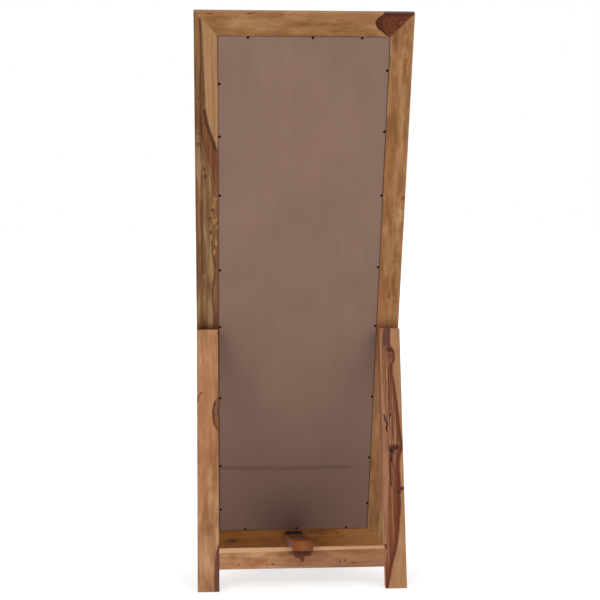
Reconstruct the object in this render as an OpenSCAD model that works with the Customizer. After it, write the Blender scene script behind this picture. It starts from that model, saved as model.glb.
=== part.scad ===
// Floor-standing wooden mirror on an easel stand, in millimetres.
// The glass faces -Y. The mirror leans back against two posts, which are hinged to the rear of its stiles and
// tied by a crossbar. A stay bar, hinged to the bottom rail, hooks over the crossbar and holds the stand open.
// Left and right are those of a person who looks into the glass, so left is -X.

/* [Mirror frame] */
// Outer width of the mirror frame
frame_w = 600; // [480:1:760]
// Length of the mirror frame's rear face, from the floor to its top edge
frame_len = 1700; // [1350:1:2050]
// Thickness of the stiles and rails
frame_t = 30; // [25:0.5:40]
// Width of the stiles and rails that shows beside the back panel
rear_face_w = 64; // [52:1:80]
// Angle between the mirror and the vertical
lean = 18; // [15:0.5:21.5]
// Radius of the long edges of the stiles and rails
frame_edge_r = 2.5; // [1:0.5:4]

/* [Glass and back] */
// Thickness of the mirror glass
glass_t = 4; // [3:0.5:6]
// Thickness of the soft board behind the glass
backing_t = 2; // [1:0.5:3]
// Thickness of the hardboard back panel
panel_t = 3; // [2.5:0.5:5]
// Depth of the back panel's face below the rear face of the frame
panel_sink = 2; // [1:0.5:3]
// Width of the step that the back panel is nailed to
panel_step = 11; // [9:0.5:16]
// Width of the lip that holds the glass
glass_lip = 8; // [6:0.5:12]
// Gap round the glass in its rebate
glass_gap = 1; // [0.5:0.25:2]
// Gap round the back panel in its rebate
panel_gap = 0.5; // [0.25:0.25:1]
// Length of a panel nail
nail_len = 15; // [12:1:20]
// Radius of a nail's shank
nail_r = 0.9; // [0.8:0.1:1.2]
// Radius of a nail's head
nail_head_r = 3.5; // [2:0.25:4.25]
// Thickness of a nail's head
nail_head_t = 0.9; // [0.6:0.1:1.2]
// Distance of the nails from the panel's edge
nail_in = 5; // [4:0.5:6]

/* [Stand] */
// Length of a post's rear face, from the floor to its top edge
post_len = 754; // [628:1:905]
// Width of a post
post_w = 62; // [52:1:75]
// Thickness of a post
post_t = 30; // [25:0.5:38]
// Angle between the posts and the vertical
post_lean = 14.5; // [12:0.5:17.5]
// Height of the crossbar's lower edge, measured up the posts
crossbar_at = 62; // [50:1:90]
// Height of the crossbar
crossbar_h = 60; // [50:1:72]
// Thickness of the crossbar
crossbar_t = 30; // [25:0.5:36]
// Radius of the long edges of the posts
post_edge_r = 3; // [1:0.5:5]
// Radius of the long edges of the crossbar
crossbar_edge_r = 4; // [1:0.5:6]

/* [Stay] */
// Width of the stay bar
stay_w = 57; // [52:1:70]
// Thickness of the stay bar
stay_t = 28; // [23:0.5:34]
// Length of the stay bar behind the crossbar
stay_overhang = 30; // [20:1:40]
// Depth of the notch that hooks over the crossbar
notch_depth = 10; // [7:0.5:13]
// Play in the notch behind the crossbar
notch_play = 0.5; // [0.3:0.1:1]
// Room in the notch in front of the crossbar, in which the bar is lifted out
notch_room = 10; // [8:0.5:16]
// Gap between the notch's floor and the crossbar's upper edge
seat_gap = 0.05; // [0.02:0.01:0.1]
// Height of the stay hinge's pin, measured up the mirror's rear face
stay_hinge_at = 58; // [54:0.5:59]
// Gap between the stay bar's end and the hinge leaf behind it
stay_end_gap = 0.6; // [0.4:0.1:1.5]
// Radius of the long edges of the stay bar
stay_edge_r = 2; // [1:0.5:4]

/* [Joinery] */
// Radius of the dowels in the mitred corners
corner_dowel_r = 4; // [3:0.5:5]
// Length of the dowels in the mitred corners
corner_dowel_len = 40; // [30:1:50]
// Distance of the outer dowel from the corner's two outer edges
corner_dowel_out = 27; // [25:1:30]
// Distance of the inner dowel from the corner's two outer edges
corner_dowel_in = 50; // [44:1:54]
// Radius of the dowels between crossbar and posts
crossbar_dowel_r = 5; // [4:0.5:6]
// Length of the dowels between crossbar and posts
crossbar_dowel_len = 50; // [40:1:60]
// Distance of these dowels from the crossbar's upper and lower edges
crossbar_dowel_in = 16; // [14:0.5:20]

/* [Hinges] */
// Radius of the hinges' knuckles
knuckle_r = 4; // [3.5:0.25:5]
// Radius of the hinges' pins
pin_r = 2; // [1.5:0.1:2.5]
// Running clearance round a pin in the leaf that turns on it
pin_clearance = 0.05; // [0.02:0.01:0.1]
// Thickness of the hinges' leaves
leaf_t = 2; // [1.5:0.25:2.5]
// Clearance between a knuckle and the wood or leaf beside it
knuckle_gap = 0.3; // [0.3:0.05:0.6]
// Width of the two post hinges
post_hinge_w = 50; // [42:1:52]
// Height of a leaf of the post hinges, from the pin
post_leaf_h = 24; // [20:1:30]
// Height of a post's end above the pin of its hinge
post_above_pin = 10; // [8:0.5:11]
// Width of the stay hinge
stay_hinge_w = 48; // [40:1:52]
// Height of a leaf of the stay hinge, from the pin
stay_leaf_h = 20; // [17:0.5:24]
// Length of a hinge screw
screw_len = 14; // [10:1:18]
// Radius of a hinge screw's shank
screw_r = 1.5; // [1.25:0.25:2]
// Radius of a hinge screw's head
screw_head_r = 3.25; // [2.75:0.25:3.5]

/* [Hidden] */
$fn = 48;
eps = 0.01;
far = 4000;

// Rebates of the mirror frame: the panel's is the wide shallow one, the glass's is deeper and narrower.
panel_rebate = panel_t + panel_sink;
glass_rebate = panel_rebate + backing_t + glass_t;
member_w = rear_face_w + panel_step + glass_lip;
panel_half_w = frame_w / 2 - rear_face_w;
panel_h = frame_len - 2 * rear_face_w;
corner_dowel_y = -0.6 * frame_t;

// Nails, as fractions of the panel's length up its sides and of its width from its middle. They were driven
// by hand, so their steps vary.
right_nails = [0.05, 0.15, 0.30, 0.45, 0.565, 0.71, 0.82, 0.915];
left_nails = [0.06, 0.165, 0.30, 0.45, 0.57, 0.71, 0.83, 0.94];
top_nails = [-0.335, -0.05, 0.325];
bottom_nails = [-0.355, -0.02, 0.325];

// Distance of a hinge's pin from the wood that each of its leaves lies on, and of a leaf's screws from its
// middle as a share of its width.
pin_off = knuckle_r + knuckle_gap;
screw_spread = 0.3;
screw_slot_w = screw_head_r / 4;

// Post hinges: the pin's height above the floor follows from the posts, its place up the stiles from that.
post_pin_z = (post_len - post_above_pin) * cos(post_lean) - (post_t + pin_off) * sin(post_lean);
post_hinge_at = (post_pin_z + pin_off * sin(lean)) / cos(lean);
post_hinge_x = frame_w / 2 - post_w / 2;

// The origin is on the floor under the middle of the whole mirror. mirror_y is the lower rear edge of the
// mirror, foot_y the lower rear edge of the posts.
mirror_y = (frame_t / cos(lean) - frame_len * sin(lean)) / 2;
post_pin_y = mirror_y + pin_off * cos(lean) + post_hinge_at * sin(lean);
foot_y = post_pin_y + (post_t + pin_off) * cos(post_lean) + (post_len - post_above_pin) * sin(post_lean);

// Stay: the pin is on the bottom rail, and the bar's angle lets the notch's floor lie on the crossbar's
// upper rear edge.
stay_pin_y = mirror_y + pin_off * cos(lean) + stay_hinge_at * sin(lean);
stay_pin_z = stay_hinge_at * cos(lean) - pin_off * sin(lean);
crossbar_top = crossbar_at + crossbar_h;
seat_y = foot_y - crossbar_top * sin(post_lean);
seat_z = crossbar_top * cos(post_lean);
seat_dist = norm([seat_y - stay_pin_y, seat_z - stay_pin_z]);
seat_drop = pin_off + stay_t - notch_depth;
stay_angle = atan2(seat_z - stay_pin_z, seat_y - stay_pin_y) + asin(seat_drop / seat_dist);
stay_reach = sqrt(seat_dist * seat_dist - seat_drop * seat_drop) + stay_overhang;

crossbar_half = frame_w / 2 - post_w;

// ---- Places ----------------------------------------------------------------------------------------------
// The mirror's own frame: z runs up its rear face, y = 0 is that face, and the front is at negative y.
module on_mirror() {
    translate([0, mirror_y, 0]) rotate([-lean, 0, 0]) children();
}

// The stand's own frame: z runs up the posts' rear face, which is y = 0.
module on_stand() {
    translate([0, foot_y, 0]) rotate([post_lean, 0, 0]) children();
}

// The stay's own frame: its origin is on the hinge pin, and y runs along the bar.
module on_stay() {
    translate([0, stay_pin_y, stay_pin_z]) rotate([stay_angle, 0, 0]) children();
}

// All that is above the floor.
module above_floor() {
    intersection() {
        children();
        translate([-far / 2, -far / 2, 0]) cube(far);
    }
}

// ---- Shared shapes ---------------------------------------------------------------------------------------
// What is taken off a square corner at the origin to round it.
module corner_waste(r) {
    difference() {
        translate([-eps, -eps]) square(r + eps);
        translate([r, r]) circle(r);
    }
}

// A rectangle from the origin, with its four corners rounded.
module rounded_board(w, t, r) {
    difference() {
        square([w, t]);
        corner_waste(r);
        translate([w, 0]) mirror([1, 0]) corner_waste(r);
        translate([0, t]) mirror([0, 1]) corner_waste(r);
        translate([w, t]) rotate(180) corner_waste(r);
    }
}

// Section of a stile or rail: x runs from the outer edge inward, y from the rear face (0) to the front. The
// bottom rail has square outer edges and a strip of waste below them for the cut along the floor.
module member_section(waste = 0) {
    difference() {
        translate([-waste, -frame_t]) square([member_w + waste, frame_t]);
        translate([rear_face_w, -panel_rebate]) square(member_w);
        translate([rear_face_w + panel_step, -glass_rebate]) square(member_w);
        translate([member_w, -frame_t]) mirror([1, 0]) corner_waste(frame_edge_r);
        if (waste == 0) {
            mirror([0, 1]) corner_waste(frame_edge_r);
            translate([0, -frame_t]) corner_waste(frame_edge_r);
        }
    }
}

// A round rod of a given length along x, centred on the origin.
module rod(r, len) {
    rotate([0, 90, 0]) cylinder(h = len, r = r, center = true);
}

// The shank of a panel nail, which is also its hole, from the plane y = 0 towards -Y.
module nail_shank() {
    rotate([90, 0, 0]) cylinder(h = nail_len, r = nail_r);
}

module nail() {
    nail_shank();
    rotate([-90, 0, 0]) cylinder(h = nail_head_t, r = nail_head_r);
}

// A countersunk hinge screw along -Z, with the top of its head on the plane z = 0.
module screw_body() {
    rotate_extrude() polygon([
        [0, 0], [screw_head_r, 0], [screw_r, -leaf_t], [screw_r, -screw_len + screw_r],
        [0, -screw_len]
    ]);
}

module screw() {
    difference() {
        screw_body();
        cube([3 * screw_head_r, screw_slot_w, leaf_t], center = true);
    }
}

// The screws of one leaf, in the leaf's own frame.
module leaf_screws(w, h) {
    for (side = [-1, 1])
        translate([side * screw_spread * w, leaf_t - pin_off, -(pin_off + h) / 2]) rotate([-90, 0, 0])
            children();
}

// Knuckles 0, 2 and 4 of a hinge belong to its outer leaf, knuckles 1 and 3 to its inner leaf.
function knuckle_x(i, w) = (i - 2) * w / 5;

// One leaf of a butt hinge. The pin is on the x axis, and the leaf hangs down from it against the wood at
// y = -pin_off. bore is the radius of the hole that the pin passes through.
module hinge_leaf(w, h, knuckles, bore) {
    knuckle_w = w / 5 - knuckle_gap;
    difference() {
        union() {
            translate([-w / 2, -pin_off, -h]) cube([w, leaf_t, h - pin_off]);
            for (i = knuckles) translate([knuckle_x(i, w), 0, 0]) {
                rod(knuckle_r, knuckle_w);
                translate([-knuckle_w / 2, -pin_off, -pin_off - eps]) cube([knuckle_w, leaf_t, pin_off + eps]);
            }
        }
        rod(bore, w + 1);
        leaf_screws(w, h) screw_body();
    }
}

module outer_leaf(w, h) {
    hinge_leaf(w, h, [0, 2, 4], pin_r);
}

module inner_leaf(w, h) {
    hinge_leaf(w, h, [1, 3], pin_r + pin_clearance);
}

// ---- Places of the fittings ------------------------------------------------------------------------------
// The frame leaf of the post hinge on one side (-1 is left), and the post's own leaf.
module at_frame_leaf(side) {
    on_mirror() translate([side * post_hinge_x, pin_off, post_hinge_at]) children();
}

module at_post_leaf(side) {
    on_stand() translate([side * post_hinge_x, -post_t - pin_off, post_len - post_above_pin])
        mirror([0, 1, 0]) children();
}

module at_rail_leaf() {
    on_mirror() translate([0, pin_off, stay_hinge_at]) children();
}

module at_bar_leaf() {
    on_stay() rotate([90, 0, 0]) children();
}

// Dowels across the mitres at the top (1) or bottom (0) of one side.
module corner_pegs(side, top) {
    for (at = [corner_dowel_out, corner_dowel_in])
        translate([side * (frame_w / 2 - at), corner_dowel_y, top ? frame_len - at : at])
            rotate([0, side * (top ? 45 : -45), 0]) rod(corner_dowel_r, corner_dowel_len);
}

module all_corner_pegs() {
    for (side = [-1, 1], top = [0, 1]) corner_pegs(side, top);
}

// Dowels at one end of the crossbar.
module crossbar_pegs(side) {
    for (z = [crossbar_at + crossbar_dowel_in, crossbar_top - crossbar_dowel_in])
        translate([side * crossbar_half, -crossbar_t / 2, z]) rod(crossbar_dowel_r, crossbar_dowel_len);
}

// The nails down one side, or along the top or bottom, of the back panel.
module side_nails(side) {
    for (f = side > 0 ? right_nails : left_nails)
        translate([side * (panel_half_w - nail_in), -panel_sink, rear_face_w + f * panel_h]) children();
}

module end_nails(top) {
    for (f = top ? top_nails : bottom_nails)
        translate([
            f * 2 * panel_half_w, -panel_sink, top ? frame_len - rear_face_w - nail_in : rear_face_w + nail_in
        ]) children();
}

module all_nails() {
    for (side = [-1, 1]) side_nails(side) children();
    for (top = [0, 1]) end_nails(top) children();
}

// ---- Mirror frame ----------------------------------------------------------------------------------------
module stile(side) {
    color("peru") difference() {
        on_mirror() difference() {
            intersection() {
                translate([side * frame_w / 2, 0, 0]) mirror([max(side, 0), 0, 0])
                    linear_extrude(frame_len) member_section();
                translate([side * frame_w / 2, eps, 0]) mirror([max(side, 0), 0, 0]) rotate([90, 0, 0])
                    linear_extrude(frame_t + 2 * eps) polygon([
                        [0, 0], [member_w, member_w], [member_w, frame_len - member_w], [0, frame_len]
                    ]);
            }
            corner_pegs(side, 0);
            corner_pegs(side, 1);
            side_nails(side) nail_shank();
        }
        at_frame_leaf(side) leaf_screws(post_hinge_w, post_leaf_h) screw_body();
    }
}

// A rail in the place of the bottom one, with its mitres cut.
module rail_board(waste) {
    intersection() {
        translate([-frame_w / 2, 0, 0]) rotate([90, 0, 90]) linear_extrude(frame_w)
            mirror([1, -1]) member_section(waste);
        translate([-frame_w / 2, eps, 0]) rotate([90, 0, 0]) linear_extrude(frame_t + 2 * eps) polygon([
            [0, -waste], [0, 0], [member_w, member_w], [frame_w - member_w, member_w], [frame_w, 0],
            [frame_w, -waste]
        ]);
    }
}

module top_rail() {
    color("goldenrod") on_mirror() difference() {
        translate([0, 0, frame_len]) mirror([0, 0, 1]) rail_board(0);
        all_corner_pegs();
        end_nails(1) nail_shank();
    }
}

module bottom_rail() {
    color("goldenrod") above_floor() difference() {
        on_mirror() difference() {
            rail_board(frame_t);
            all_corner_pegs();
            end_nails(0) nail_shank();
        }
        at_rail_leaf() leaf_screws(stay_hinge_w, stay_leaf_h) screw_body();
    }
}

module corner_dowels() {
    color("burlywood") on_mirror() all_corner_pegs();
}

// ---- Glass and back --------------------------------------------------------------------------------------
// A sheet that fills the glass's rebate between two depths below the rear face.
module glass_sheet(top, t) {
    half = frame_w / 2 - rear_face_w - panel_step - glass_gap;
    h = frame_len - 2 * (rear_face_w + panel_step + glass_gap);
    on_mirror() translate([-half, -top - t, rear_face_w + panel_step + glass_gap]) cube([2 * half, t, h]);
}

module mirror_glass() {
    color("lightsteelblue") glass_sheet(panel_rebate + backing_t, glass_t);
}

module glass_backing() {
    color("gray") glass_sheet(panel_rebate, backing_t);
}

module back_panel() {
    color("rosybrown") on_mirror() difference() {
        translate([panel_gap - panel_half_w, -panel_rebate, rear_face_w + panel_gap])
            cube([2 * (panel_half_w - panel_gap), panel_t, panel_h - 2 * panel_gap]);
        all_nails() nail_shank();
    }
}

module panel_nails() {
    color("black") on_mirror() all_nails() nail();
}

// ---- Stand -----------------------------------------------------------------------------------------------
module post(side) {
    color("chocolate") above_floor() difference() {
        on_stand() difference() {
            translate([side > 0 ? crossbar_half : -frame_w / 2, -post_t, -post_t])
                linear_extrude(post_len + post_t) rounded_board(post_w, post_t, post_edge_r);
            crossbar_pegs(side);
        }
        at_post_leaf(side) leaf_screws(post_hinge_w, post_leaf_h) screw_body();
    }
}

module crossbar() {
    color("tan") on_stand() difference() {
        translate([-crossbar_half, -crossbar_t, crossbar_at]) rotate([90, 0, 90])
            linear_extrude(2 * crossbar_half) rounded_board(crossbar_t, crossbar_h, crossbar_edge_r);
        for (side = [-1, 1]) crossbar_pegs(side);
    }
}

module crossbar_dowels() {
    color("burlywood") on_stand() for (side = [-1, 1]) crossbar_pegs(side);
}

// ---- Stay ------------------------------------------------------------------------------------------------
// The notch follows the crossbar's upper edge, with play behind it and room in front of it.
module stay_notch() {
    on_stand() translate([-stay_w, -crossbar_t - notch_room, crossbar_at])
        cube([2 * stay_w, crossbar_t + notch_room + notch_play, crossbar_h + seat_gap]);
}

module stay_bar() {
    color("sienna") difference() {
        on_stay() translate([-stay_w / 2, -stay_t, -pin_off - stay_t]) rotate([90, 0, 90])
            linear_extrude(stay_w) rounded_board(stay_reach + stay_t, stay_t, stay_edge_r);
        on_mirror() translate([-stay_w, leaf_t + stay_end_gap - far, -far / 2]) cube([2 * stay_w, far, far]);
        stay_notch();
        at_bar_leaf() leaf_screws(stay_hinge_w, stay_leaf_h) screw_body();
    }
}

// ---- Hinges ----------------------------------------------------------------------------------------------
module hinge_pin(w) {
    color("dimgray") rod(pin_r, w);
}

module frame_hinge_screws() {
    color("silver") for (side = [-1, 1])
        at_frame_leaf(side) leaf_screws(post_hinge_w, post_leaf_h) screw();
}

module post_hinge_screws() {
    color("silver") for (side = [-1, 1])
        at_post_leaf(side) leaf_screws(post_hinge_w, post_leaf_h) screw();
}

module stay_rail_screws() {
    color("silver") at_rail_leaf() leaf_screws(stay_hinge_w, stay_leaf_h) screw();
}

module stay_bar_screws() {
    color("silver") at_bar_leaf() leaf_screws(stay_hinge_w, stay_leaf_h) screw();
}

module frame_leaf(side) {
    color("#222222") at_frame_leaf(side) outer_leaf(post_hinge_w, post_leaf_h);
}

module post_leaf(side) {
    color("#222222") at_post_leaf(side) inner_leaf(post_hinge_w, post_leaf_h);
}

module stay_hinge_rail_leaf() {
    color("#222222") at_rail_leaf() outer_leaf(stay_hinge_w, stay_leaf_h);
}

module stay_hinge_bar_leaf() {
    color("#222222") at_bar_leaf() inner_leaf(stay_hinge_w, stay_leaf_h);
}

// ---- The assembly ----------------------------------------------------------------------------------------
top_rail();
bottom_rail();
stile(-1);  // left_stile
stile(1);  // right_stile
corner_dowels();
mirror_glass();
glass_backing();
back_panel();
panel_nails();
post(-1);  // left_post
post(1);  // right_post
crossbar();
crossbar_dowels();
frame_leaf(-1);  // left_hinge_frame_leaf
post_leaf(-1);  // left_hinge_post_leaf
at_frame_leaf(-1) hinge_pin(post_hinge_w);  // left_hinge_pin
frame_leaf(1);  // right_hinge_frame_leaf
post_leaf(1);  // right_hinge_post_leaf
at_frame_leaf(1) hinge_pin(post_hinge_w);  // right_hinge_pin
frame_hinge_screws();
post_hinge_screws();
stay_bar();
stay_hinge_rail_leaf();
stay_hinge_bar_leaf();
at_rail_leaf() hinge_pin(stay_hinge_w);  // stay_hinge_pin
stay_rail_screws();
stay_bar_screws();
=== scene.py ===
"""Looks of a wooden floor mirror that leans back on a hinged easel stand, seen from behind.

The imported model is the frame: every board, hinge and nail stays where it is, and this script gives it its
materials, softens its cut ends, and sets the stage, the light and the camera.
"""
import math

import bpy
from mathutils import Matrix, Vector

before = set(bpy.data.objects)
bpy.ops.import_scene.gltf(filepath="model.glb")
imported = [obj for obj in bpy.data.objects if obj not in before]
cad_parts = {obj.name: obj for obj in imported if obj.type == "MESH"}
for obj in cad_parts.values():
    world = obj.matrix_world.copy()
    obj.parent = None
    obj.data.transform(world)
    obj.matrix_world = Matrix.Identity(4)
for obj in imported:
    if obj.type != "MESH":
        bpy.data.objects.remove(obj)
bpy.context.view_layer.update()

# ---- Camera and light ------------------------------------------------------------------------------------
CAMERA_AT = (0.254, 3.893, 1.152)   # metres, in the row frame
CAMERA_YAW = math.radians(3.81)     # turned towards -X from straight along -Y
CAMERA_PITCH = math.radians(4.95)   # below the horizontal
SENSOR_MM = 36.0
LENS_MM = 79.4

# name: (degrees round from +Y towards +X, degrees above the horizontal, strength)
SUNS = {"left": (40.0, 27.0, 1.15), "right": (-40.0, 27.0, 1.0)}
SUN_SPREAD = math.radians(40.0)
WORLD_GREY = 1.0
FLOOR_GREY = 0.52
FLOOR_GLOW = 0.5
FLOOR_SIZE = 60.0                   # metres


def rgb(red, green, blue):
    """A colour given as 0 to 255 screen values, as linear values with alpha."""
    def linear(value):
        value /= 255
        return value / 12.92 if value <= 0.04045 else ((value + 0.055) / 1.055) ** 2.4
    return (linear(red), linear(green), linear(blue), 1.0)


# ---- Where the boards lie --------------------------------------------------------------------------------
def broad_normal(node):
    """The normal of the node's largest faces that don't face along X."""
    sums = {}
    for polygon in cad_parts[node].data.polygons:
        normal = polygon.normal
        if abs(normal.x) < 0.5:
            if normal.y + normal.z * 0.01 < 0:
                normal = -normal
            key = (round(normal.y, 3), round(normal.z, 3))
            total = sums.setdefault(key, [0.0, Vector()])
            total[0] += polygon.area
            total[1] += normal * polygon.area
    return max(sums.values(), key=lambda total: total[0])[1].normalized()


def rear_plane(node):
    """Tilt about X and place on the floor of the plane of a leaning node's rear face."""
    normal = broad_normal(node)
    reach = max(normal.dot(vertex.co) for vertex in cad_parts[node].data.vertices)
    return math.atan2(normal.z, normal.y), Vector((0.0, reach / normal.y, 0.0))


MIRROR = rear_plane("left_stile")
STAND = rear_plane("left_post")
UPRIGHT = (0.0, Vector())


# ---- Shader building -------------------------------------------------------------------------------------
class Shader:
    """A material's node tree, with short calls for the nodes used here. Values are sockets or numbers."""

    def __init__(self, name):
        self.material = bpy.data.materials.new(name)
        self.material.use_nodes = True
        self.nodes = self.material.node_tree.nodes
        self.links = self.material.node_tree.links
        self.surface = self.nodes["Principled BSDF"]

    def put(self, socket, value):
        if isinstance(value, bpy.types.NodeSocket):
            self.links.new(value, socket)
        else:
            socket.default_value = value

    def node(self, kind, *values, **settings):
        made = self.nodes.new(kind)
        for key, value in settings.items():
            setattr(made, key, value)
        for socket, value in zip(made.inputs, values):
            if value is not None:
                self.put(socket, value)
        return made

    def math(self, operation, *values, clamp=False):
        return self.node("ShaderNodeMath", *values, operation=operation, use_clamp=clamp).outputs[0]

    def add(self, *values):
        total = values[0]
        for value in values[1:]:
            total = self.math("ADD", total, value)
        return total

    def mul(self, *values):
        total = values[0]
        for value in values[1:]:
            total = self.math("MULTIPLY", total, value)
        return total

    def sub(self, a, b):
        return self.math("SUBTRACT", a, b)

    def most(self, *values):
        total = values[0]
        for value in values[1:]:
            total = self.math("MAXIMUM", total, value)
        return total

    def point(self, x, y, z):
        return self.node("ShaderNodeCombineXYZ", x, y, z).outputs[0]

    def noise(self, place, scale=1.0, detail=2.0, rough=0.5):
        made = self.node("ShaderNodeTexNoise")
        self.put(made.inputs["Vector"], place)
        self.put(made.inputs["Scale"], scale)
        self.put(made.inputs["Detail"], detail)
        self.put(made.inputs["Roughness"], rough)
        return made.outputs["Fac"]

    def smooth(self, value, low, high, to_low=0.0, to_high=1.0):
        made = self.node("ShaderNodeMapRange", value, low, high, to_low, to_high,
                         interpolation_type="SMOOTHSTEP")
        return made.outputs[0]

    def ramp(self, value, stops):
        """A colour ramp. stops are (position, colour)."""
        made = self.node("ShaderNodeValToRGB", value)
        ramp = made.color_ramp
        while len(ramp.elements) < len(stops):
            ramp.elements.new(0.5)
        for element, (position, colour) in zip(ramp.elements, stops):
            element.position = position
            element.color = colour
        return made.outputs["Color"]

    def mix(self, share, a, b, blend="MIX"):
        made = self.node("ShaderNodeMix", data_type="RGBA", blend_type=blend)
        self.put(made.inputs[0], share)
        self.put(made.inputs[6], a)
        self.put(made.inputs[7], b)
        return made.outputs[2]

    def curve(self, value, points):
        """A smooth line through points (value, result), which needn't be in order."""
        points = sorted(points)
        low, high = points[0][0], points[-1][0]
        least = min(result for _, result in points)
        span = max(result for _, result in points) - least
        share = self.node("ShaderNodeMapRange", value, low, high, 0.0, 1.0).outputs[0]
        made = self.node("ShaderNodeFloatCurve", 1.0, share)
        line = made.mapping.curves[0]
        while len(line.points) < len(points):
            line.points.new(0.5, 0.5)
        for spot, (first, second) in zip(line.points, points):
            spot.location = ((first - low) / (high - low), (second - least) / span)
        made.mapping.update()
        return self.add(self.mul(made.outputs[0], span), least)

    def bump(self, height, strength, distance):
        made = self.node("ShaderNodeBump")
        self.put(made.inputs["Strength"], strength)
        self.put(made.inputs["Distance"], distance)
        self.put(made.inputs["Height"], height)
        self.links.new(made.outputs[0], self.surface.inputs["Normal"])

    def finish(self, **values):
        """Sets the surface's sockets by name, with _ for a space."""
        for key, value in values.items():
            self.put(self.surface.inputs[key.replace("_", " ")], value)
        return self.material


def place_on(shader, plane):
    """Coordinates of a tilted board: across (X), up its rear face, and out of that face, in metres."""
    tilt, origin = plane
    place = shader.node("ShaderNodeTexCoord").outputs["Object"]
    turned = shader.node("ShaderNodeVectorRotate", rotation_type="X_AXIS")
    shader.put(turned.inputs["Vector"], place)
    shader.put(turned.inputs["Center"], origin)
    shader.put(turned.inputs["Angle"], -tilt)
    moved = shader.node("ShaderNodeVectorMath", turned.outputs[0], origin, operation="SUBTRACT").outputs[0]
    split = shader.node("ShaderNodeSeparateXYZ", moved).outputs
    return split[0], split[2], split[1]


# ---- Wood ------------------------------------------------------------------------------------------------
# Each wood's dark, middle and light colours, and the red that some of its patches lean to.
GOLDEN = (rgb(96, 60, 31), rgb(125, 87, 51), rgb(152, 114, 76), rgb(128, 80, 49))
ORANGE = (rgb(111, 71, 45), rgb(135, 95, 63), rgb(157, 118, 86), rgb(140, 91, 58))
TAN = (rgb(110, 68, 42), rgb(137, 95, 64), rgb(158, 119, 88), rgb(138, 90, 58))
HONEY = (rgb(78, 42, 13), rgb(104, 61, 20), rgb(126, 80, 34), rgb(108, 58, 16))
RED = (rgb(68, 34, 12), rgb(94, 51, 21), rgb(120, 74, 36), rgb(100, 50, 20))
HEART_DARK = rgb(50, 26, 18)
HEART_RED = rgb(92, 50, 34)


class Board:
    """The fields a board's figure is drawn with: place on the board, wandering grain and slow blotches."""

    def __init__(self, shader, plane, lying, seed):
        self.shader = s = shader
        self.x, self.up, self.out = place_on(s, plane)
        self.x_mm, self.up_mm = s.mul(self.x, 1000), s.mul(self.up, 1000)
        self.along, self.across = (self.x, self.up) if lying else (self.up, self.x)
        self.seed = seed
        slow = s.point(s.mul(self.along, 4.0), s.add(s.mul(self.across, 14.0), seed), s.mul(self.out, 14.0))
        wander = s.sub(s.noise(slow, 1.0, 3.0), 0.5)
        self.side = s.add(self.across, s.mul(wander, 0.022))
        self.deep = s.add(self.out, s.mul(wander, 0.014))
        self.blotch = s.noise(slow, 2.3, 6.0, 0.6)

    def stretched(self, length, width, detail=4.0, rough=0.55):
        """Noise whose specks are drawn out along the grain, length by width cells a metre."""
        s = self.shader
        return s.noise(s.point(s.mul(self.along, length), s.add(s.mul(self.side, width), self.seed * 3.1),
                               s.mul(self.deep, width)), 1.0, detail, rough)

    def wobble(self, length, width, size, detail=3.0, rough=0.55):
        """Stretched noise about zero, size times as strong."""
        s = self.shader
        return s.mul(s.sub(self.stretched(length, width, detail, rough), 0.5), size)

    def tint(self, colour, mask, share, shade):
        """The colour with a share of the shade where the mask is 1."""
        s = self.shader
        return s.mix(s.mul(mask, share), colour, shade)

    def on_rear_face(self):
        """1 on the rear face, 0 a few millimetres in front of it."""
        return self.shader.smooth(self.out, -0.006, -0.002)


def wood(name, plane, lying, tones, seed, mottle=1.0, figure=None):
    """Satin hardwood. figure(board, colour) adds what is particular to one board and returns the colour."""
    s = Shader(name)
    board = Board(s, plane, lying, seed)
    dark, middle, light, red = tones
    fine = board.stretched(13.0, 330.0, 3.0, 0.6)
    tone = s.add(s.mul(s.sub(board.blotch, 0.5), 1.1 * mottle),
                 board.wobble(11.0, 34.0, 0.75 * mottle, 6.0, 0.62),
                 board.wobble(2.2, 52.0, 0.55, 4.0), s.mul(s.sub(fine, 0.5), 0.34), 0.5)
    colour = s.ramp(tone, [(0.24, dark), (0.50, middle), (0.76, light)])
    for length, width, detail, rough, low, high, share, shade in (
            (3.0, 13.0, 2.0, 0.55, 0.42, 0.66, 0.60, red),             # broad red areas
            (6.0, 17.0, 5.0, 0.62, 0.49, 0.55, 0.30 * mottle, light),  # pale patches
            (8.0, 25.0, 5.0, 0.62, 0.54, 0.60, 0.30 * mottle, dark),   # dark patches
            (2.0, 120.0, 3.0, 0.55, 0.62, 0.70, 0.35, dark),           # dark veins
            (42.0, 170.0, 2.0, 0.55, 0.68, 0.76, 0.35, light)):        # pale flecks
        mask = s.smooth(board.stretched(length, width, detail, rough), low, high)
        colour = board.tint(colour, mask, share, shade)
    if figure:
        colour = figure(board, colour)
    pores = s.smooth(board.stretched(36.0, 1200.0, 2.0, 0.5), 0.60, 0.70)
    colour = board.tint(colour, pores, 0.22, HEART_DARK)
    s.bump(s.sub(s.mul(fine, 0.5), s.mul(pores, 0.6)), 0.35, 0.0004)
    return s.finish(Base_Color=colour, Roughness=s.add(0.42, s.mul(fine, 0.16), s.mul(board.blotch, 0.08)),
                    Specular_IOR_Level=0.1, Coat_Weight=0.02, Coat_Roughness=0.4)


# In what follows, places and sizes on a board are millimetres: "across" is X and "up" runs up its rear face.
def blob(board, across, up, wide, tall, ragged):
    """An uneven spot on the board: 1 at its middle, 0 at its edge."""
    s = board.shader
    a = s.mul(s.sub(board.x_mm, across), 1 / wide)
    b = s.mul(s.sub(board.up_mm, up), 1 / tall)
    edge = s.add(1.0, board.wobble(120.0, 280.0, 2 * ragged, 4.0, 0.65))
    return s.math("SUBTRACT", edge, s.math("SQRT", s.add(s.mul(a, a), s.mul(b, b))), clamp=True)


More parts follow.
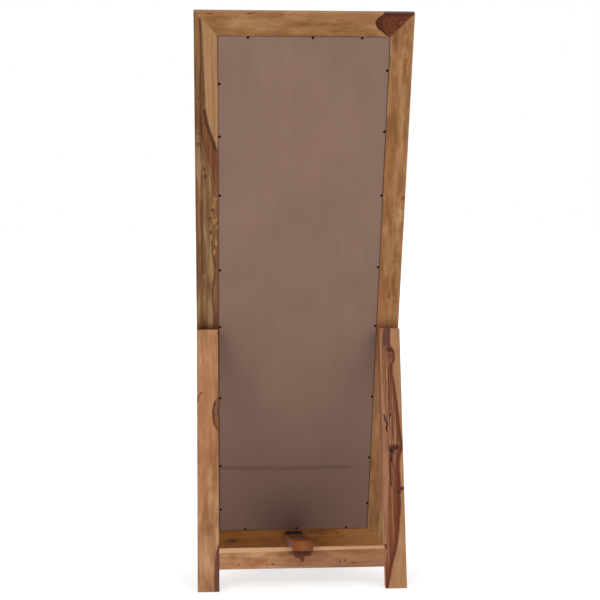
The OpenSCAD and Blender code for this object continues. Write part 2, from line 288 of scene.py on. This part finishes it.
def past(board, points, soft, ragged):
    """1 where the board lies at greater X than a line through points (up, across)."""
    s = board.shader
    line = s.curve(board.up_mm, points)
    return s.smooth(s.add(s.sub(board.x_mm, line), board.wobble(22.0, 60.0, 2 * ragged)), -soft, soft)


def between(board, low, high, soft):
    """1 where the board lies between two heights."""
    s = board.shader
    return s.mul(s.smooth(board.up_mm, low - soft, low + soft),
                 s.smooth(board.up_mm, high - soft, high + soft, 1.0, 0.0))


def line_along(board, points, width):
    """A thin line that follows points (up, across): 1 on it, 0 beside it."""
    s = board.shader
    heights = [up for up, _ in points]
    away = s.math("ABSOLUTE", s.add(s.sub(board.x_mm, s.curve(board.up_mm, points)),
                                    board.wobble(70.0, 180.0, 4.5, 3.0, 0.6)))
    return s.mul(s.smooth(away, width * 0.3, width, 1.0, 0.0),
                 between(board, min(heights), max(heights), 6.0))


def lines(board, colour, rows):
    """Thin lines. rows are (points, width, shade, share)."""
    for points, width, shade, share in rows:
        colour = board.tint(colour, line_along(board, points, width), share, shade)
    return colour


def spots(board, colour, rows, ragged, full, share):
    """Soft spots. rows are (across, up, wide, tall, shade); full is how deep in a spot its shade is whole."""
    for across, up, wide, tall, shade in rows:
        mask = board.shader.smooth(blob(board, across, up, wide, tall, ragged), 0.0, full)
        colour = board.tint(colour, mask, share, shade)
    return colour


def knots(board, colour, rows, dark=HEART_DARK, ring=HEART_RED, strength=1.0):
    """Dark eyes in redder rings. rows are (across, up, wide, tall) and may end in an eye's own colour."""
    s = board.shader
    for across, up, wide, tall, *own in rows:
        spot = blob(board, across, up, wide, tall, 1.3)
        colour = board.tint(colour, s.smooth(spot, 0.0, 0.30), 0.75 * strength, ring)
        colour = board.tint(colour, s.smooth(spot, 0.30, 0.62), 0.9 * strength, own[0] if own else dark)
    return colour


def slid(points, across):
    """The points (up, across), moved across."""
    return [(up, place + across) for up, place in points]


def top_rail_figure(board, colour):
    """A ringed heartwood knot at the -X end, and small dark dashes on the upper edge."""
    s, x, up = board.shader, board.x_mm, board.up_mm
    lower_edge = s.curve(x, [(-300, 1628), (-233, 1636), (-215, 1647), (-202, 1656), (-196, 1664),
                             (-191, 1676)])
    upper_edge = s.curve(x, [(-300, 1712), (-222, 1702), (-210, 1694), (-199, 1686), (-191, 1674)])
    rough = s.add(up, board.wobble(60.0, 60.0, 5.0))
    inside = s.mul(s.smooth(s.sub(rough, lower_edge), -1.2, 1.2),
                   s.smooth(s.sub(upper_edge, rough), -1.2, 1.2), s.smooth(x, -194.0, -190.0, 1.0, 0.0))
    a, b = s.add(x, 268), s.sub(up, 1672)
    radius = s.math("SQRT", s.add(s.mul(a, a), s.mul(b, b, 1.6)))
    rings = s.noise(s.point(s.mul(radius, 0.13), s.mul(board.blotch, 1.6), 0.0), 1.0, 3.0, 0.6)
    heart = s.ramp(s.add(s.mul(rings, 0.85), s.mul(s.sub(x, -245.0), -0.0016), 0.06),
                   [(0.36, rgb(58, 22, 7)), (0.52, rgb(82, 38, 18)), (0.68, rgb(114, 66, 38))])
    colour = board.tint(colour, inside, 0.95, heart)
    rim = s.mul(s.smooth(s.sub(rough, lower_edge), 1.0, 8.0, 1.0, 0.0), s.smooth(x, -236.0, -222.0))
    tip = s.smooth(x, -216.0, -200.0)
    darker = s.mul(inside, s.most(rim, tip, s.smooth(up, 1682.0, 1697.0)))
    colour = board.tint(colour, darker, 0.75, rgb(60, 20, 8))
    dashes = s.mul(s.smooth(board.stretched(26.0, 240.0, 2.0), 0.58, 0.64), s.smooth(up, 1684.0, 1697.0),
                   s.smooth(x, -50.0, 100.0))
    return board.tint(colour, dashes, 0.85, rgb(62, 34, 18))


def bottom_rail_figure(board, colour):
    """Darker towards +X, paler towards -X, with two knots."""
    s = board.shader
    colour = s.mix(s.smooth(board.x_mm, 40, 200, 0.0, 0.3), colour, rgb(70, 42, 16))
    colour = s.mix(s.smooth(board.x_mm, -220, -100, 0.35, 0.0), colour, rgb(138, 100, 62))
    colour = knots(board, colour, [(196, 27, 24, 9)], rgb(48, 24, 10), rgb(66, 34, 14), 0.8)
    return knots(board, colour, [(-140, 50, 8, 4)], rgb(54, 28, 12), rgb(74, 40, 18), 0.8)


def crevice(board, colour, shade, share):
    """Painted shade, with some dirt, in the crevice that a stile makes with the end of its post."""
    s = board.shader
    crevice_shade = s.mul(s.smooth(board.up_mm, 754, 795, share, 0.0), s.smooth(board.up_mm, 740, 750),
                  board.on_rear_face())
    return s.mix(crevice_shade, colour, shade)


# Lines (up, across) on the right stile: where its pale wood ends, where its red band ends, and its rosy edge.
PALE_EDGE = [(1720, 287), (1680, 280), (1570, 275), (1480, 271), (1430, 270), (1380, 260), (1355, 252),
             (1310, 236)]
RED_EDGE = [(1350, 283), (1300, 272), (1270, 262), (1205, 244), (1180, 237)]
ROSY_EDGE = [(1250, 302), (1225, 294), (1165, 287), (1035, 280), (980, 277), (940, 283), (890, 289),
             (845, 302)]
RIGHT_STILE_LINES = [
    (slid(PALE_EDGE[:6], 3), 6.0, rgb(62, 36, 21), 0.5),
    (slid(PALE_EDGE[4:], 3), 8.0, rgb(54, 28, 16), 0.75),
    (RED_EDGE, 1.4, rgb(130, 94, 62), 0.5),
    (slid(RED_EDGE, 4), 3.0, rgb(66, 40, 24), 0.5),
    ([(1045, 254), (1015, 253), (995, 251), (965, 243)], 2.6, rgb(44, 20, 8), 0.9),
    ([(945, 246), (905, 250), (860, 254), (830, 249), (790, 249), (765, 252)], 2.6, rgb(46, 22, 9), 0.85),
    ([(1165, 284), (1090, 281), (980, 274), (940, 278)], 3.4, rgb(70, 44, 26), 0.6)]
GOLD_SPOTS = [(246, 1159, 7, 19), (245, 1096, 8, 26), (242, 1038, 6, 16), (247, 1010, 4, 12)]
RIGHT_STILE_KNOTS = [
    (274, 1260, 4, 9), (271, 1238, 5, 8), (291, 1331, 5, 8), (253, 1138, 4, 7), (259, 1111, 4, 6),
    (257, 1070, 4, 8), (288, 1464, 3, 6), (284, 1442, 3, 5), (281, 1402, 4, 6), (278, 1388, 3, 5),
    (288, 1362, 4, 5)]


def right_stile_figure(board, _):
    """Pale wood inside a dark boundary, a red band, then grey-brown wood with splits and gold flecks."""
    s = board.shader
    streak = board.stretched(3.0, 110.0, 4.0, 0.6)
    mixed = s.add(s.mul(streak, 0.65), s.mul(board.blotch, 0.35))
    pale = s.ramp(mixed, [(0.34, rgb(120, 86, 54)), (0.50, rgb(138, 103, 69)), (0.66, rgb(152, 119, 84))])
    dark = s.ramp(streak, [(0.34, rgb(68, 42, 20)), (0.49, rgb(102, 68, 38)), (0.64, rgb(128, 90, 54))])
    red = s.ramp(streak, [(0.34, rgb(68, 35, 17)), (0.50, rgb(92, 53, 29)), (0.66, rgb(122, 78, 48))])
    grey = s.ramp(mixed, [(0.36, rgb(70, 46, 23)), (0.50, rgb(104, 74, 45)), (0.62, rgb(132, 104, 72))])
    beyond_pale = s.most(past(board, PALE_EDGE, 2.0, 3.0), s.smooth(board.up_mm, 1306, 1316, 1.0, 0.0))
    low = s.smooth(board.up_mm, 1170, 1190, 1.0, 0.0)
    beyond_red = s.mul(s.most(past(board, RED_EDGE, 1.2, 2.0), low),
                       s.smooth(board.up_mm, 1330, 1400, 1.0, 0.0))
    band = s.smooth(board.up_mm, 1360, 1460, 1.0, 0.0)
    colour = s.mix(beyond_pale, pale, s.mix(band, dark, red))
    colour = s.mix(beyond_red, colour, grey)
    colour = lines(board, colour, RIGHT_STILE_LINES)
    rosy = s.mul(past(board, ROSY_EDGE, 1.5, 3.0), between(board, 845, 1250, 8.0))
    colour = board.tint(colour, rosy, 0.75, red)
    # Painted shade along the stile's inner edge beside the panel, below the red band.
    inner = s.mul(s.smooth(board.x_mm, 238.5, 243.5, 0.6, 0.0), low, board.on_rear_face())
    colour = s.mix(inner, colour, rgb(104, 56, 28))
    flecked = s.smooth(board.stretched(110.0, 300.0, 3.0), 0.44, 0.56)
    gold = s.mix(flecked, colour, rgb(158, 108, 60))
    colour = spots(board, colour, [spot + (gold,) for spot in GOLD_SPOTS], 1.8, 0.6, 0.85)
    colour = knots(board, colour, RIGHT_STILE_KNOTS, rgb(50, 26, 12), rgb(84, 50, 26), 0.85)
    # Painted shade with some dirt where the stile meets the top of its post.
    return crevice(board, colour, rgb(50, 8, 0), 0.85)


LEFT_STILE_SPOTS = [
    (-288, 1128, 10, 30, rgb(156, 126, 92)), (-282, 1480, 12, 50, rgb(148, 108, 70)),
    (-262, 1010, 16, 60, rgb(132, 98, 68)), (-248, 1290, 7, 26, rgb(112, 80, 34)),
    (-292, 1330, 7, 60, rgb(126, 70, 42)), (-278, 1560, 9, 50, rgb(100, 62, 32))]
LEFT_STILE_KNOTS = [(-294, 1172, 5, 8), (-292, 1143, 3, 4), (-282, 1122, 3, 4), (-268, 868, 2.5, 14),
                    (-271, 977, 4, 5), (-282, 999, 2.5, 4)]


def left_stile_figure(board, colour):
    """Golden above, browner below, with soft patches and a few small spots."""
    s = board.shader
    low = s.smooth(board.up_mm, 350, 800, 1.0, 0.0)
    colour = board.tint(colour, low, 0.25, rgb(92, 56, 32))
    colour = spots(board, colour, LEFT_STILE_SPOTS, 1.0, 0.8, 0.6)
    colour = knots(board, colour, LEFT_STILE_KNOTS, rgb(62, 34, 14), rgb(92, 56, 30), 0.75)
    # Painted shade with some dirt where the stile meets the top of its post.
    return crevice(board, colour, rgb(100, 38, 4), 0.35)


RIGHT_POST_SPOTS = [
    (262, 600, 20, 120, rgb(148, 104, 66)), (250, 330, 12, 120, rgb(116, 74, 42)),
    (278, 250, 12, 160, rgb(126, 78, 42)), (244, 160, 6, 60, rgb(168, 134, 104))]
INNER_EDGE, MOON_MIDDLE, MOON_HALF, MOON_DEEP = 236, 506, 60, 18
MOON_EDGE = [(up, INNER_EDGE + MOON_DEEP * (1 - ((up - MOON_MIDDLE) / MOON_HALF) ** 2))
             for up in range(MOON_MIDDLE - MOON_HALF, MOON_MIDDLE + MOON_HALF + 1, MOON_HALF // 3)]
WEDGE_EDGE = [(140, 236), (118, 245), (90, 250), (0, 253)]
HOOK = [(567, 290), (560, 294), (552, 297), (542, 297)]


def right_post_figure(board, colour):
    """A painted sheen in pale chevrons above, a dark half-moon on the inner edge and a dark wedge at its
    foot.
    """
    s, x, up = board.shader, board.x_mm, board.up_mm
    # Painted sheen: pale diagonal chevrons near the top of the post.
    peaks = s.mul(s.math("ABSOLUTE", s.sub(x, 266.0)), 2.6)
    chevron = s.math("SINE", s.add(s.mul(s.add(up, peaks), 0.12), s.mul(board.blotch, 16.0)))
    patch = s.mul(between(board, 606, 690, 18.0),
                  s.smooth(s.math("ABSOLUTE", s.sub(x, 262.0)), 12.0, 24.0, 1.0, 0.0),
                  s.smooth(chevron, -0.6, 0.9))
    colour = board.tint(colour, patch, 0.18, rgb(164, 124, 88))
    colour = spots(board, colour, RIGHT_POST_SPOTS, 0.8, 0.9, 0.55)
    moon = s.mul(s.sub(1.0, past(board, MOON_EDGE, 1.0, 1.2)), between(board, 450, 562, 3.0))
    bark = s.ramp(board.stretched(40.0, 200.0, 3.0), [(0.38, rgb(66, 33, 15)), (0.62, rgb(108, 68, 42))])
    colour = board.tint(colour, moon, 0.85, bark)
    colour = lines(board, colour, [(MOON_EDGE[1:-1], 3.0, rgb(54, 24, 9), 0.9)])
    wedge = s.mul(s.sub(1.0, past(board, WEDGE_EDGE, 1.2, 1.5)), between(board, -20, 134, 4.0))
    colour = board.tint(colour, wedge, 0.9, rgb(74, 40, 30))
    colour = lines(board, colour, [(HOOK, 3.4, rgb(66, 34, 16), 0.85)])
    return knots(board, colour, [(287, 567, 5, 4)], rgb(74, 40, 20), rgb(98, 60, 36), 0.8)


# Lines (up, across) on the left post: the heartwood's outer and inner edges.
HEART_OUTER = [
    (755, -270), (710, -268), (690, -278), (665, -281), (640, -273), (580, -279), (505, -287), (435, -293),
    (412, -297), (380, -289), (350, -285), (295, -287), (270, -284), (250, -286), (190, -281), (150, -277),
    (115, -271), (80, -261), (0, -243)]
HEART_INNER = [(755, -256), (670, -247), (510, -252), (395, -258), (335, -259), (280, -253), (190, -248),
               (0, -236)]
LEFT_POST_LINES = [
    (slid(HEART_OUTER, 2.5), 9.0, rgb(80, 34, 16), 0.75),
    (HEART_OUTER, 2.6, rgb(56, 20, 8), 0.65),
    ([(400, -288), (350, -281), (300, -280), (250, -279), (190, -274)], 12.0, rgb(80, 32, 14), 0.6),
    (HEART_INNER[:4], 3.0, rgb(80, 46, 32), 0.45),
    ([(500, -246), (480, -251), (471, -255), (460, -252), (448, -257)], 3.8, rgb(44, 18, 12), 0.95),
    ([(404, -263), (372, -261), (349, -260), (314, -261), (290, -262)], 3.8, rgb(42, 18, 12), 0.9),
    ([(640, -262), (590, -264), (530, -268), (470, -270), (424, -272)], 2.4, rgb(66, 34, 24), 0.8),
    ([(600, -256), (560, -258), (500, -262), (450, -264)], 1.8, rgb(74, 40, 28), 0.7)]
LEFT_POST_KNOTS = [
    (-267, 690, 15, 9, rgb(48, 18, 9)), (-270, 672, 12, 7, rgb(92, 48, 34)),
    (-264, 497, 4, 8, rgb(36, 16, 8)), (-264, 372, 7, 26, rgb(44, 19, 10)),
    (-267, 396, 12, 18, rgb(32, 15, 10)), (-279, 404, 17, 10, rgb(46, 24, 18)),
    (-292, 284, 15, 7, rgb(42, 15, 7)), (-284, 275, 10, 10, rgb(60, 25, 12)),
    (-241, 120, 6, 9, rgb(44, 20, 10))]


def left_post_figure(board, colour):
    """Pale sapwood outside, and a red heartwood streak with knots along the inner side."""
    s, up = board.shader, board.up_mm
    outer, inner = past(board, HEART_OUTER, 1.6, 2.4), past(board, HEART_INNER, 1.6, 2.5)
    in_heart = s.mul(outer, s.sub(1.0, inner))
    streak = board.stretched(4.0, 260.0, 4.0, 0.65)
    mixed = s.add(s.mul(streak, 0.6), s.mul(board.blotch, 0.4))
    sap = s.ramp(mixed, [(0.32, rgb(114, 76, 47)), (0.50, rgb(136, 98, 66)), (0.68, rgb(150, 113, 80))])
    heart = s.ramp(streak, [(0.36, rgb(66, 32, 16)), (0.48, rgb(102, 60, 38)), (0.60, rgb(134, 92, 66))])
    deep = s.ramp(streak, [(0.34, rgb(72, 30, 12)), (0.50, rgb(96, 50, 28)), (0.66, rgb(124, 76, 50))])
    heart = s.mix(s.smooth(up, 240, 420, 0.85, 0.0), heart, deep)
    pink = s.ramp(mixed, [(0.34, rgb(100, 62, 40)), (0.50, rgb(124, 82, 58)), (0.66, rgb(144, 106, 80))])
    colour = s.mix(0.9, colour, pink)
    colour = s.mix(s.sub(1.0, outer), colour, sap)
    colour = board.tint(colour, in_heart, 0.95, heart)
    colour = lines(board, colour, LEFT_POST_LINES)
    colour = spots(board, colour, [(-263, 668, 14, 22, rgb(108, 66, 54))], 0.5, 0.4, 0.6)
    colour = board.tint(colour, s.mul(s.smooth(up, 695, 705), in_heart), 0.85, rgb(78, 44, 38))
    colour = knots(board, colour, LEFT_POST_KNOTS, ring=rgb(78, 40, 28))
    # Painted light: off the rear face, the post's side faces are paler towards its foot, with pale scuffs.
    painted_light = s.ramp(mixed, [(0.34, rgb(154, 106, 68)), (0.50, rgb(174, 127, 92)), (0.66, rgb(192, 151, 116))])
    scuffed = s.mul(s.smooth(board.stretched(9.0, 40.0, 4.0), 0.48, 0.60), s.smooth(up, 360, 520, 0.55, 0.0))
    side = s.mul(s.smooth(board.out, -0.004, -0.0015, 1.0, 0.0), s.smooth(up, 80, 460, 0.9, 0.0))
    return s.mix(side, colour, s.mix(scuffed, painted_light, rgb(192, 166, 134)))


CROSSBAR_KNOTS = [(84, 74, 9, 4), (183, 76, 6, 3.5), (-107, 78, 4, 7), (-122, 82, 4, 6), (-148, 75, 14, 3)]


def crossbar_figure(board, colour):
    """Darker towards -X, with a painted highlight along its upper edge for its lit top face, a painted shadow
    under the stay bar and a few dark specks.
    """
    s, x = board.shader, board.x_mm
    up = s.add(board.up_mm, board.wobble(9.0, 60.0, 3.0))
    colour = s.mix(s.smooth(x, 0, 100, 0.5, 0.0), colour, rgb(98, 58, 36))
    # Painted highlight: a pale band along the upper edge, standing in for the lit top face.
    highlight_from = s.curve(x, [(-240, 114), (0, 111), (240, 108)])
    painted_light = s.mul(s.smooth(s.sub(up, highlight_from), -0.8, 0.8), s.smooth(x, -220, 200, 0.8, 0.9))
    colour = s.mix(painted_light, colour, rgb(166, 128, 94))
    lower = s.mul(s.smooth(up, 65.0, 67.5, 1.0, 0.0), s.smooth(x, -60, 60))
    colour = board.tint(colour, lower, 0.6, rgb(156, 114, 78))
    # Painted shadow of the stay bar's end: a dark V on the crossbar below it.
    shadow_reach = s.sub(s.mul(s.sub(up, 78.0), 1.25), s.math("ABSOLUTE", s.sub(x, 2.0)))
    shadow_reach = s.add(shadow_reach, board.wobble(75.0, 90.0, 60.0, 5.0, 0.65))
    stay_shadow = s.mul(s.smooth(shadow_reach, -5.0, 12.0), s.smooth(up, 108.0, 113.0, 1.0, 0.0))
    colour = board.tint(colour, stay_shadow, 0.88, rgb(66, 27, 10))
    return knots(board, colour, CROSSBAR_KNOTS, rgb(62, 30, 16), rgb(98, 58, 34), 0.8)


WOODS = {
    "top_rail": wood("top_rail_wood", MIRROR, True, GOLDEN, 2.9, mottle=0.75, figure=top_rail_figure),
    "bottom_rail": wood("bottom_rail_wood", MIRROR, True, HONEY, 4.3, figure=bottom_rail_figure),
    "right_stile": wood("right_stile_wood", MIRROR, False, GOLDEN, 7.9, figure=right_stile_figure),
    "left_stile": wood("left_stile_wood", MIRROR, False, GOLDEN, 11.2, figure=left_stile_figure),
    "right_post": wood("right_post_wood", STAND, False, ORANGE, 15.1, figure=right_post_figure),
    "left_post": wood("left_post_wood", STAND, False, ORANGE, 19.6, figure=left_post_figure),
    "crossbar": wood("crossbar_wood", STAND, True, TAN, 23.3, mottle=1.35, figure=crossbar_figure),
    "stay_bar": wood("stay_bar_wood", UPRIGHT, False, RED, 27.7),
}


# ---- The other materials ---------------------------------------------------------------------------------
PANEL_HALF_W = 0.236                # metres
PANEL_TOP = 1.636                   # metres up the mirror's rear face
PANEL_LINE_UP = 0.289               # the faint line's height, in metres up the rear face
GAP_SHADE = (0.0035, 0.0010)        # where the dark rim starts and is full, in metres inside the edge


def hardboard():
    """Pinkish-brown hardboard: fine fibre, scuffs, painted shade towards the bottom and round its edges, a
    faint line across low down, and a painted shadow low in the middle.
    """
    s = Shader("hardboard_back")
    x, up, out = place_on(s, MIRROR)
    place = s.point(x, up, out)
    fibre = s.noise(place, 620.0, 4.0, 0.65)
    cloud = s.noise(place, 5.0, 3.0, 0.5)
    rub = s.noise(s.point(s.mul(x, 34.0), s.mul(up, 2.2), out), 1.0, 3.0, 0.6)
    tone = s.add(s.mul(fibre, 0.30), s.mul(cloud, 0.42), s.mul(rub, 0.20), 0.04)
    colour = s.ramp(tone, [(0.36, rgb(108, 84, 73)), (0.50, rgb(114, 89, 77)), (0.64, rgb(119, 94, 82))])
    # Painted shade: darker towards the bottom.
    low = s.curve(s.mul(up, 1000), [(60, 0.62), (170, 0.52), (300, 0.36), (460, 0.22), (760, 0.10),
                                    (1150, 0.02), (1650, 0.0)])
    colour = s.mix(low, colour, rgb(70, 44, 35))
    # Painted shadow: a soft dark area low in the middle, where the posts' shadows cross.
    a, b = s.mul(s.sub(x, 0.03), 1000 / 120), s.mul(s.sub(up, 0.08), 1000 / 130)
    painted_shadow = s.smooth(s.math("SQRT", s.add(s.mul(a, a), s.mul(b, b))), 0.1, 1.2, 0.3, 0.0)
    colour = s.mix(painted_shadow, colour, rgb(50, 30, 23))
    # Painted shade in the gap along the panel's sides and top.
    start, full = GAP_SHADE
    edge = s.most(s.smooth(s.math("ABSOLUTE", x), PANEL_HALF_W - start, PANEL_HALF_W - full),
                  s.mul(s.smooth(up, PANEL_TOP - start, PANEL_TOP - full), 0.7))
    colour = s.mix(s.mul(edge, 0.65), colour, rgb(40, 24, 18))
    height = s.add(s.sub(up, PANEL_LINE_UP), s.mul(s.sub(cloud, 0.5), 0.02))
    line = s.smooth(s.math("ABSOLUTE", height), 0.001, 0.012, 1.0, 0.0)
    line = s.mul(line, s.smooth(x, -0.205, -0.14), s.smooth(rub, 0.2, 0.6, 0.6, 1.0))
    colour = s.mix(s.mul(line, 0.36), colour, rgb(58, 38, 30))
    s.bump(s.add(fibre, s.mul(rub, 0.2)), 0.3, 0.0003)
    return s.finish(Base_Color=colour, Roughness=s.add(0.66, s.mul(fibre, 0.14)), Specular_IOR_Level=0.15)


def dowel():
    s = Shader("dowel_beech")
    place = s.node("ShaderNodeTexCoord").outputs["Object"]
    grain = s.noise(place, 900.0, 3.0)
    colour = s.ramp(grain, [(0.3, rgb(178, 140, 98)), (0.7, rgb(206, 172, 130))])
    s.bump(grain, 0.2, 0.0002)
    return s.finish(Base_Color=colour, Roughness=s.add(0.5, s.mul(grain, 0.15)))


def metal(name, dark, light, rough, metallic, shine=0.5, scale=90.0):
    """Metal or lacquered metal with slow uneven wear and fine scratches."""
    s = Shader(name)
    place = s.node("ShaderNodeTexCoord").outputs["Object"]
    wear = s.noise(place, scale, 4.0, 0.6)
    fine = s.noise(place, 1400.0, 2.0)
    colour = s.ramp(wear, [(0.38, dark), (0.64, light)])
    s.bump(s.add(s.mul(wear, 0.6), s.mul(fine, 0.4)), 0.18, 0.0002)
    return s.finish(Base_Color=colour, Metallic=metallic, Specular_IOR_Level=shine,
                    Roughness=s.add(rough, s.mul(wear, 0.18)))


def silver():
    """Silvered glass with faint smears."""
    s = Shader("mirror_silver")
    place = s.node("ShaderNodeTexCoord").outputs["Object"]
    smear = s.noise(place, 7.0, 5.0, 0.6)
    colour = s.ramp(smear, [(0.3, rgb(232, 238, 236)), (0.7, rgb(236, 241, 239))])
    return s.finish(Base_Color=colour, Metallic=1.0, Roughness=s.smooth(smear, 0.5, 0.8, 0.008, 0.02))


def felt():
    s = Shader("backing_felt")
    place = s.node("ShaderNodeTexCoord").outputs["Object"]
    fibre = s.noise(place, 900.0, 5.0, 0.7)
    colour = s.ramp(fibre, [(0.3, rgb(96, 92, 86)), (0.7, rgb(142, 137, 128))])
    s.bump(fibre, 0.5, 0.0006)
    return s.finish(Base_Color=colour, Roughness=s.add(0.85, s.mul(fibre, 0.1)), Sheen_Weight=0.25)


BLACK = metal("hinge_black", rgb(7, 5, 4), rgb(22, 18, 16), 0.36, 0.0, 0.14)
STEEL = metal("screw_steel", rgb(120, 118, 114), rgb(168, 166, 160), 0.28, 1.0)
FINISHES = dict(WOODS)
FINISHES.update({
    "corner_dowels": dowel(), "back_panel": hardboard(), "mirror_glass": silver(), "glass_backing": felt(),
    "panel_nails": metal("nail_black", rgb(5, 2, 1), rgb(16, 9, 6), 0.5, 0.0, 0.05),
})
FINISHES["crossbar_dowels"] = FINISHES["corner_dowels"]
for name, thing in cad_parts.items():
    if name not in FINISHES:
        FINISHES[name] = BLACK if name.endswith("_leaf") else STEEL
    thing.data.materials.clear()
    thing.data.materials.append(FINISHES[name])


# ---- Softened cut ends -----------------------------------------------------------------------------------
WELD_WITHIN = 0.000002              # metres
FLAT_WITHIN = math.radians(1.0)     # faces closer than this to one plane become one face
EASE_OVER = math.radians(35.0)      # edges sharper than this are softened
# How far each board's edges are eased, in metres
EASE = {"top_rail": 0.0006, "bottom_rail": 0.0008, "left_stile": 0.0006, "right_stile": 0.0006,
        "left_post": 0.0012, "right_post": 0.0012, "crossbar": 0.0006, "stay_bar": 0.0010,
        "back_panel": 0.0005}
for name, width in EASE.items():
    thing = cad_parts[name]
    weld = thing.modifiers.new("weld", "WELD")
    weld.merge_threshold = WELD_WITHIN
    flat = thing.modifiers.new("flat", "DECIMATE")
    flat.decimate_type = "DISSOLVE"
    flat.angle_limit = FLAT_WITHIN
    bevel = thing.modifiers.new("ease", "BEVEL")
    bevel.width = width
    bevel.segments = 3
    bevel.limit_method = "ANGLE"
    bevel.angle_limit = EASE_OVER


# ---- Stage -----------------------------------------------------------------------------------------------
bpy.ops.mesh.primitive_plane_add(size=FLOOR_SIZE, location=(0.0, 0.0, 0.0))
floor = bpy.context.object
floor.name = "floor"
white = Shader("stage_white")
floor.data.materials.append(white.finish(
    Base_Color=(FLOOR_GREY, FLOOR_GREY, FLOOR_GREY, 1.0), Roughness=0.9, Specular_IOR_Level=0.1,
    Emission_Color=(1.0, 1.0, 1.0, 1.0), Emission_Strength=FLOOR_GLOW))

for name, (turn, height, strength) in SUNS.items():
    light = bpy.data.lights.new(name, "SUN")
    light.energy = strength
    light.angle = SUN_SPREAD
    lamp = bpy.data.objects.new(name, light)
    turn, height = math.radians(turn), math.radians(height)
    source = Vector((math.sin(turn) * math.cos(height), math.cos(turn) * math.cos(height), math.sin(height)))
    lamp.rotation_euler = (-source).to_track_quat("-Z", "Y").to_euler()
    bpy.context.scene.collection.objects.link(lamp)

world = bpy.data.worlds.new("studio")
world.use_nodes = True
world.node_tree.nodes["Background"].inputs["Color"].default_value = (WORLD_GREY, WORLD_GREY, WORLD_GREY, 1.0)
world.node_tree.nodes["Background"].inputs["Strength"].default_value = 1.0
bpy.context.scene.world = world
bpy.context.scene.view_settings.view_transform = "Standard"

camera = bpy.data.objects.new("camera", bpy.data.cameras.new("camera"))
camera.data.sensor_width = SENSOR_MM
camera.data.lens = LENS_MM
camera.location = CAMERA_AT
forward = Vector((-math.sin(CAMERA_YAW) * math.cos(CAMERA_PITCH),
                  -math.cos(CAMERA_YAW) * math.cos(CAMERA_PITCH), -math.sin(CAMERA_PITCH)))
camera.rotation_euler = forward.to_track_quat("-Z", "Y").to_euler()
bpy.context.scene.collection.objects.link(camera)
bpy.context.scene.camera = camera
